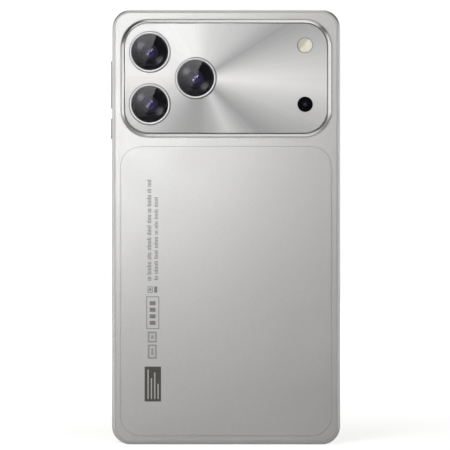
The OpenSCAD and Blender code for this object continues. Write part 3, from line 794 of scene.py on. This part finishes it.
def make_barrel(lens):
    """The barrel moves to focus, so everything here stays below the glass at its nearest."""
    node = "focus_barrel_" + lens
    body = "focus_" + lens
    lo, hi = flat_box(node)
    centre = spot("lens_ring_" + lens)
    barrel = [(BARREL_STEPS[0][0], lo.z)] + below(hi.z, BARREL_STEPS)
    wear(turned(f"lens_{lens}_barrel", centre, barrel, body=body), "camera_black", node, look="barrel_violet")
    element = [(ELEMENT_R, hi.z - ELEMENT_SEAT)]
    element += ball_cap(steps_between(ELEMENT_R, 0, 12), hi.z - ELEMENT_DROP, ELEMENT_BALL)
    wear(turned(f"lens_{lens}_element", centre, element, body=body), "lens_glass", look="coated_lens")


def make_flash():
    lo, hi = flat_box("flash_lens")
    centre = spot("flash_lens")
    wear(turned("flash_rim", centre, below(hi.z, FLASH_RIM), closed=True), "flash_diffuser", look="flash_rim")
    seat = hi.z - WINDOW_SEAT_DEPTH
    profile = [(FLASH_STEM_R, lo.z), (FLASH_STEM_R, seat), (FLASH_R, seat), (FLASH_R, hi.z - 0.05)]
    for i in range(FLASH_RINGS):
        r = FLASH_R - 0.05 - FLASH_RING_PITCH * i
        profile += [(r, hi.z - 0.01), (r - FLASH_RING_W, hi.z - 0.08)]
    profile.append((0, hi.z - 0.02))
    wear(turned("flash_lens_cap", centre, profile), "flash_diffuser", "flash_lens")


def make_depth_window():
    lo, hi = flat_box("depth_window")
    centre = spot("depth_window")
    profile = [(3.0, lo.z), (3.2, lo.z)] + below(hi.z, WINDOW_FACE)
    wear(turned("depth_window_cap", centre, profile), "lens_glass", "depth_window", look="dark_window")
    wear(turned("depth_window_eye", centre, below(hi.z, WINDOW_EYE)), "lens_glass", look="barrel_violet")


# ---- Keys and card tray ----

KEY_W = 2.4
KEY_FILLET = 0.28
# The power key's flange reaches past its cap by this much at each end.
POWER_FLANGE = 0.8
TRAY_H = 2.0
TRAY_HEAD_T = 1.6
EJECT_HOLE_D = 1.0
EJECT_HOLE_FROM_END = 1.7
PLATE_Y = 51
PLATE_W = 13.6
PLATE_T = 0.9
PLATE_EDGE = 0.05
PLATE_OVERLAP = 0.1
# The plate's card openings: from x, to x, width; and the ledge the cards lie on.
CARD_OPENINGS = ((20, 28.8, 12.4), (30.2, 45.2, 11))
CARD_LEDGE_W = 1.5
CARD_LEDGE_T = 0.2


def key_extent(node):
    """Where a key's cap starts and ends along the body."""
    lo, hi = flat_box(node)
    flange = POWER_FLANGE if node == "power_key" else 0
    return lo.y + flange, hi.y - flange


def make_key(node, body):
    """A long round-ended cap with a slightly dished face."""
    lo, hi = flat_box(node)
    a, b = key_extent(node)
    base, top = -hi.x, -lo.x
    profile = [(0.3, base), (0, base), (0, top - KEY_FILLET)]
    profile += arc(KEY_FILLET, top - KEY_FILLET, KEY_FILLET, 180, 90, 5)[1:]
    profile += [(0.7, top), (1.0, top - 0.03)]
    key = loft(node + "_cap", (b - a, KEY_W), KEY_W / 2, profile, ((a + b) / 2, 0), side_place(0, -1),
               body=body, steps=10)
    # The cap wears the darker silver, a painted shade.
    wear(key, "satin_silver", node, look="shaded_key_silver")


def make_tray_head():
    """The tray's outer end, with the hole for the eject pin."""
    lo, hi = flat_box("sim_tray")
    z = (lo.z + hi.z) / 2
    place = side_place(hi.x, 1)
    profile = [(0.2, -TRAY_HEAD_T), (0, -TRAY_HEAD_T), (0, -0.15), (0.04, -0.06), (0.15, 0), (0.4, 0)]
    head = loft("card_tray_head", (hi.y - lo.y, TRAY_H), TRAY_H / 2, profile, ((lo.y + hi.y) / 2, z), place,
                body="card_tray", steps=10)
    hole = (EJECT_HOLE_D, EJECT_HOLE_D)
    carve(head, [slot_cutter(hole, (hi.y - EJECT_HOLE_FROM_END, z), 3, place)])
    wear(head, "satin_silver", "sim_tray")


def make_tray_plate():
    """The flat plate behind the tray's head, with a stepped opening for each card."""
    lo, hi = flat_box("sim_tray")
    z = (lo.z + hi.z) / 2
    under, over = z - PLATE_T / 2, z + PLATE_T / 2
    length = hi.x - TRAY_HEAD_T + PLATE_OVERLAP - lo.x
    profile = [(0.3, under), (PLATE_EDGE, under), (0, under + PLATE_EDGE), (0, over - PLATE_EDGE),
               (PLATE_EDGE, over), (0.3, over)]
    plate = loft("card_tray_plate", (length, PLATE_W), 1.2, profile, (lo.x + length / 2, PLATE_Y),
                 body="card_tray", steps=8)
    cutters = []
    for x0, x1, width in CARD_OPENINGS:
        centre = ((x0 + x1) / 2, PLATE_Y)
        size = (x1 - x0, width)
        inside = (size[0] - 2 * CARD_LEDGE_W, size[1] - 2 * CARD_LEDGE_W)
        recess = [(0, under + CARD_LEDGE_T), (0, z + 2)]
        cutters.append(loft("cutter", size, 0.8, recess, centre, body=None, steps=6))
        cutters.append(loft("cutter", inside, 0.8, [(0, z - 2), (0, z)], centre, body=None, steps=6))
    carve(plate, cutters)
    wear(plate, "satin_silver")


# ---- Printed marks, as plain shapes ----

INK_T = 0.012
STROKE_W = 0.34
STROKE_STEP = 0.62
STROKE_SHORTER = 0.45
WORD_GAP = 0.75
# Each row of small print: its two sides, its start and end along the body, and its words' lengths.
SMALL_PRINT = ((-33.4, -31.5, 19.9, -23.1, (5, 3, 8, 3, 6, 7, 9, 5, 9, 8, 6)),
               (-30.4, -28.7, 12.5, -22.8, (7, 7, 5, 3, 8, 6, 9, 5)))
FINE_LINE = 0.3
BROAD_LINE = 0.75
# The two plain outlines: where each starts and ends along the body.
OUTLINES = ((-44.0, -48.6), (-49.4, -55.4))
# Where each stripe on the label ends.
LABEL_STRIPES = (-60.0, -63.6, -61.2, -66.0)


def ink(bm, x0, x1, y0, y1, lift=1):
    """A flat printed rectangle just proud of the rear panel; lift 2 prints over another."""
    z = flat_box("rear_panel")[1].z
    corners = [(x0, y0), (x1, y0), (x1, y1), (x0, y1)]
    low = [bm.verts.new(at(x, y, z - 0.02)) for x, y in corners]
    high = [bm.verts.new(at(x, y, z + lift * INK_T)) for x, y in corners]
    bm.faces.new(high)
    bm.faces.new(low[::-1])
    for i in range(4):
        k = (i + 1) % 4
        bm.faces.new((low[i], low[k], high[k], high[i]))


def frame_ink(bm, x0, x1, y0, y1, line):
    """A plain rectangular outline."""
    ink(bm, x0, x1, y1 - line, y1)
    ink(bm, x0, x1, y0, y0 + line)
    ink(bm, x0, x0 + line, y0 + line, y1 - line)
    ink(bm, x1 - line, x1, y0 + line, y1 - line)


def stroke_row(bm, x0, x1, start, end, words):
    """Plain upright strokes in groups, as long as a line of small print but with no letters in it."""
    y = start
    for i, word in enumerate(words):
        for k in range(word):
            if y - STROKE_W < end:
                return
            tall = (k * 7 + i * 3) % 5 == 0
            ink(bm, x0 if tall else x0 + STROKE_SHORTER, x1, y - STROKE_W, y)
            y -= STROKE_STEP
        y -= WORD_GAP


def draw_lines(bm):
    """The two rows, and after them a small outline with a square in it and a solid block."""
    for row in SMALL_PRINT:
        stroke_row(bm, *row)
    frame_ink(bm, -33.0, -30.9, -27.6, -25.0, FINE_LINE)
    ink(bm, -32.4, -31.5, -26.8, -25.8)
    ink(bm, -30.3, -29.0, -27.6, -25.0)


def draw_panel(bm):
    """A framed panel with four blocks in it."""
    frame_ink(bm, -33.6, -28.2, -42.9, -29.2, FINE_LINE)
    for i in range(4):
        ink(bm, -32.2, -29.7, -32.9 - 2.75 * i, -31.2 - 2.75 * i)


def draw_marks(bm):
    """Two broad outlines, each with a small block in it."""
    for start, end in OUTLINES:
        frame_ink(bm, -33.0, -29.2, end, start, BROAD_LINE)
        ink(bm, -31.6, -30.6, end + 2 * BROAD_LINE, start - 2 * BROAD_LINE)


def draw_label(bm):
    ink(bm, -34.3, -27.4, -73.4, -58.7)


def draw_label_bars(bm):
    for i, end in enumerate(LABEL_STRIPES):
        ink(bm, -33.1 + 1.4 * i, -32.6 + 1.4 * i, -72.3, end, lift=2)


def make_print():
    """Small print, marks and a label, each replaced by a plain shape of the same place and size."""
    prints = (("printed_lines", draw_lines, "print_grey"), ("printed_panel", draw_panel, "print_grey"),
              ("printed_marks", draw_marks, "print_faint"), ("printed_label", draw_label, "print_dark"),
              ("printed_label_bars", draw_label_bars, "print_light"))
    for name, draw, look in prints:
        bm = bmesh.new()
        draw(bm)
        wear(finish_mesh(name, bm, smooth=False), "panel_silver", look=look)


# ---- Everything ----

make_side_frame()
make_back_cover()
make_rear_panel()
make_front()
make_bezel()
make_deck_plate()
for lens_name in LENSES:
    make_lens(lens_name)
make_flash()
make_depth_window()
make_key("volume_key", "volume_rocker")
make_key("power_key", "power_button")
make_tray_head()
make_tray_plate()
make_print()
dress_nodes()


# ---- Stage ----

WARM = (1.0, 0.955, 0.915)
WHITE = (1, 1, 1)
COOL = (0.92, 0.9, 1.0)
WORLD_LEVEL = 0.08
BEYOND_FLOOR_LEVEL = 1.05
FLOOR_SIZE = 3
# The floor's glow near the object and further out, and the distances between which it grows.
FLOOR_GLOW = (0.70, 1.05)
FLOOR_GLOW_REACH = (0.1, 0.8)
CAMERA_DISTANCE = 1.6
CAMERA_OFFSET = (-0.00048, 0, 0.00088)
VIEW_WIDTH = 0.1894
SENSOR_MM = 36
# Name, place, aim, size across and along, strength in watts, colour.
LIGHTS = (
    ("near_left", (-0.072, -0.30, 0.158), (-0.070, 0, 0.158), (0.13, 0.13), 0.228, WHITE),
    ("upper_left", (-0.110, -0.45, 0.400), (-0.01, 0, 0.14), (0.14, 0.14), 0.38, WHITE),
    ("upper_right", (0.200, -0.60, 0.360), (0.02, 0, 0.14), (0.16, 0.16), 0.28, WHITE),
    ("left_box", (-1.3, -1.2, 0.12), (0, 0, 0.12), (1.0, 0.5), 3.4, WARM),
    ("right_box", (1.3, -1.2, 0.12), (0, 0, 0.12), (1.0, 0.5), 3.4, WARM),
    ("top_box", (0, -1.1, 1.3), (0, 0, 0.12), (0.5, 1.0), 1.5, WARM),
    ("back_box", (-0.9, 1.6, 0.80), (0, 0, 0.1), (0.9, 1.2), 12.0, WHITE),
)
NEAR_LIGHTS = ("near_left", "upper_left", "upper_right")
# A card for each lens: its place from where the lens would mirror the camera, its size, strength and
# turn in degrees, and the part of its height over which it fades.
CARD_OFFSET = Vector((-0.194, -2.0, 0.036))
CARD_SIZE = (0.40, 0.77)
CARD_POWER = 4.3
CARD_TURN = 20.5
CARD_FADE = (0.14, 0.9)
# Spots on the lens elements and domes: pieces, place from the middle lens, size, strength. A lamp that
# is linked to the covers shows on the element behind them.
CATCH_LIGHTS = (
    (ELEMENTS, (0.30, -1.0, 0.465), 0.20, 12.0),
    (ELEMENTS, (-0.174, -0.4, -0.10), 0.085, 2.2),
    (COVERS, (0.16, -1.0, 0.247), 0.15, 0.75),
    (COVERS, (-0.225, -0.8, -0.122), 0.105, 0.36),
    (DOMES, (-0.567, -1.0, 0.443), 0.26, 12.0),
    (DOMES, (0.1375, -0.25, -0.115), 0.07, 0.7),
)
# Lamps for the bezel's leaning face, one for each straight side, and then for its steep edges: place,
# size, strength.
BEZEL_LIGHTS = (
    ((-0.70, -1.5, 0.154), (0.28, 0.28), 0.33),
    ((0.66, -1.5, 0.160), (0.36, 0.76), 0.85),
    ((0.14, -1.5, 0.86), (0.60, 0.34), 0.55),
    ((0.027, -0.22, 0.050), (0.15, 0.05), 0.0100),
    ((-1.2, -0.50, 0.15), (0.9, 0.6), 1.5),
    ((1.3, -0.15, 0.15), (0.9, 0.6), 2.2),
    ((0, -0.15, 1.3), (0.9, 0.6), 0.5),
    ((0.02, -0.08, 0.05), (0.15, 0.08), 0.09),
)
# Wide lamps for the side frame, the keys and the tray's head: place, size, strength.
SHELL_LIGHTS = (
    ((-0.4, -1.6, 0.43), (2.0, 0.75), 5.5),
    ((-1.2, 0.35, 0.15), (0.9, 0.9), 3.0),
    ((1.2, 0.35, 0.15), (0.9, 0.9), 3.8),
    ((0, 0.35, 1.3), (0.9, 0.9), 4.6),
)
SHELL_AIM = (0, 0, 0.09)


def floor_look():
    """Matt white, with a glow that only the camera sees and that grows away from the object."""
    mat = surface("floor_white", grey(0.86), 0.6, grain=60, vary=0.01, bump_mm=0)
    nt = mat.node_tree
    shader = nt.nodes["Principled BSDF"]
    shader.inputs["Specular IOR Level"].default_value = 0.0
    away = vector_math(nt, "LENGTH", object_coords(nt)).outputs["Value"]
    strength = nt.nodes.new("ShaderNodeMath")
    strength.operation = "MULTIPLY"
    path = nt.nodes.new("ShaderNodeLightPath")
    glow = nt.nodes.new("ShaderNodeEmission")
    add = nt.nodes.new("ShaderNodeAddShader")
    links(nt, (path.outputs["Is Camera Ray"], strength.inputs[0]),
          (span(nt, away, *FLOOR_GLOW, *FLOOR_GLOW_REACH), strength.inputs[1]),
          (strength.outputs["Value"], glow.inputs["Strength"]),
          (shader.outputs["BSDF"], add.inputs[0]), (glow.outputs["Emission"], add.inputs[1]),
          (add.outputs["Shader"], nt.nodes["Material Output"].inputs["Surface"]))
    return mat


def add_floor():
    bm = bmesh.new()
    bmesh.ops.create_grid(bm, x_segments=1, y_segments=1, size=FLOOR_SIZE)
    floor = finish_mesh("floor", bm, body=None, smooth=False)
    floor.data.materials.append(floor_look())


def add_world():
    """White where the camera sees past the floor, and an even grey for light and reflections."""
    world = bpy.data.worlds.new("studio")
    bpy.context.scene.world = world
    world.use_nodes = True
    nt = world.node_tree
    back = nt.nodes["Background"]
    back.inputs["Color"].default_value = (*WARM, 1)
    back.inputs["Strength"].default_value = WORLD_LEVEL
    white = nt.nodes.new("ShaderNodeBackground")
    white.inputs["Color"].default_value = (*WHITE, 1)
    white.inputs["Strength"].default_value = BEYOND_FLOOR_LEVEL
    path = nt.nodes.new("ShaderNodeLightPath")
    mix = nt.nodes.new("ShaderNodeMixShader")
    links(nt, (path.outputs["Is Camera Ray"], mix.inputs["Fac"]), (back.outputs["Background"], mix.inputs[1]),
          (white.outputs["Background"], mix.inputs[2]),
          (mix.outputs["Shader"], nt.nodes["World Output"].inputs["Surface"]))


def add_camera():
    """Square on to the back, with a long lens."""
    data = bpy.data.cameras.new("camera")
    data.sensor_width = SENSOR_MM
    data.lens = SENSOR_MM * CAMERA_DISTANCE / VIEW_WIDTH
    data.clip_start = 0.01
    data.clip_end = 50
    camera = bpy.data.objects.new("camera", data)
    camera.location = Vector((MID.x, BODY_LO.y - CAMERA_DISTANCE, MID.z)) + Vector(CAMERA_OFFSET)
    camera.rotation_euler = (math.radians(90), 0, 0)
    bpy.context.scene.collection.objects.link(camera)
    bpy.context.scene.camera = camera


def add_area(name, place, target, size, power, color):
    data = bpy.data.lights.new(name, "AREA")
    data.shape = "RECTANGLE"
    data.size, data.size_y = size
    data.energy = power
    data.color = color
    lamp = bpy.data.objects.new(name, data)
    lamp.location = place
    lamp.rotation_mode = "QUATERNION"
    lamp.rotation_quaternion = (Vector(target) - Vector(place)).to_track_quat("-Z", "Y")
    lamp.visible_camera = False
    bpy.context.scene.collection.objects.link(lamp)
    return lamp


def link_light(lamp, names, state):
    """Keeps a lamp off the named pieces, or on them alone."""
    group = bpy.data.collections.new(lamp.name + "_" + state.lower())
    lamp.light_linking.receiver_collection = group
    for name in names:
        group.objects.link(bpy.data.objects[name])
    for member in group.collection_objects:
        member.light_linking.link_state = state


def add_general_lights():
    """Lamps for everything but the lens optics; the near ones leave out the bezel and the shell too."""
    optics = COVERS + MASKS + DOMES + ELEMENTS
    for row in LIGHTS:
        left_out = optics + BEZEL + SHELL if row[0] in NEAR_LIGHTS else optics
        link_light(add_area(*row), left_out, "EXCLUDE")


def add_card(lens):
    """A tall card behind the camera, fading downwards; its straight right edge shows in the lens glass."""
    eye = bpy.context.scene.camera.location
    heart = at(*middle("lens_ring_" + lens))
    mirrored = (heart - eye) * CARD_OFFSET.y / (eye.y - heart.y)
    place = heart + CARD_OFFSET + Vector((mirrored.x, 0, mirrored.z))
    lamp = add_area("card_" + lens, place, place + Vector((0, 1, 0)), CARD_SIZE, CARD_POWER, WHITE)
    lamp.rotation_quaternion = Quaternion((0, 1, 0), math.radians(CARD_TURN)) @ lamp.rotation_quaternion
    lamp.data.use_nodes = True
    nt = lamp.data.node_tree
    geometry = nt.nodes.new("ShaderNodeNewGeometry")
    split = nt.nodes.new("ShaderNodeSeparateXYZ")
    links(nt, (geometry.outputs["Parametric"], split.inputs["Vector"]),
          (span(nt, split.outputs["Y"], 0, 1, *CARD_FADE), nt.nodes["Emission"].inputs["Strength"]))
    link_light(lamp, [f"lens_{lens}_cover"], "INCLUDE")


def add_catch_lights():
    heart = at(*middle("lens_ring_middle"))
    for i, (names, offset, size, power) in enumerate(CATCH_LIGHTS):
        lamp = add_area(f"catch_{i}", heart + Vector(offset), heart, (size, size), power, COOL)
        link_light(lamp, names, "INCLUDE")


def add_own_lights(kind, rows, target, names):
    """Lamps for the named pieces alone, all aimed at one point."""
    for i, (place, size, power) in enumerate(rows):
        link_light(add_area(f"{kind}_{i}", place, target, size, power, WHITE), names, "INCLUDE")


add_floor()
add_world()
add_camera()
add_general_lights()
for lens_name in LENSES:
    add_card(lens_name)
add_own_lights("shell", SHELL_LIGHTS, SHELL_AIM, SHELL)
add_catch_lights()
add_own_lights("bezel", BEZEL_LIGHTS, at(*middle("camera_bezel")), BEZEL)
bpy.context.scene.view_settings.view_transform = "Standard"
